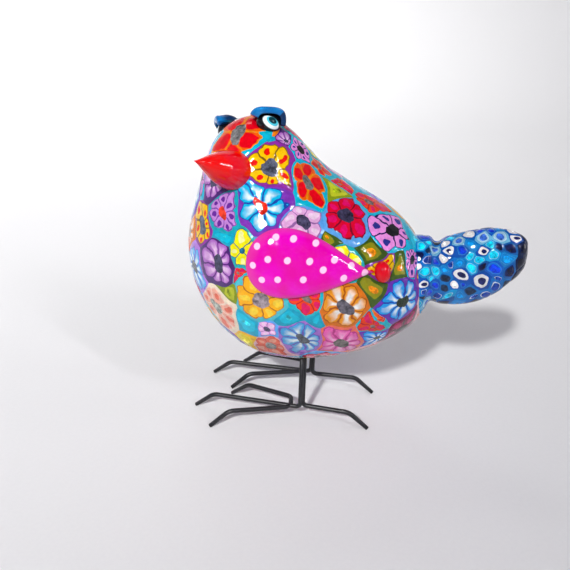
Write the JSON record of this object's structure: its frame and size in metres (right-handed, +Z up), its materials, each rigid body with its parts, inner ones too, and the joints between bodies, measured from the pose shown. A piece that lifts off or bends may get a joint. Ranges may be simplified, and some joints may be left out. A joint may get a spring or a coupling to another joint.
{
  "type": "bird figurine",
  "caption": "Plump glossy clay songbird figurine on thin wire legs, covered in flower-patterned cane slices, head turned to its left.",
  "frame": {"origin": "on the floor under the middle of the figurine's outline", "axes": "+Z up, -Y the way the body faces, +X the bird's own left side"},
  "size_m": [0.0654, 0.104, 0.1037],
  "materials": {
    "body": "varnished gloss",
    "beak": "varnished gloss",
    "eye": "varnished gloss",
    "eyelid": "varnished gloss",
    "wing": "varnished gloss",
    "bead": "varnished gloss",
    "tail": "varnished gloss",
    "wire": "satin black"
  },
  "bodies": {
    "root": {"body": "body", "beak": "beak", "eye_left": "eye", "eye_right": "eye", "eyelid_left": "eyelid", "eyelid_right": "eyelid", "wing_left": "wing", "wing_right": "wing", "wing_bead_left": "bead", "wing_bead_right": "bead", "tail": "tail", "leg_left": "wire", "leg_right": "wire"}
  },
  "joints": []
}
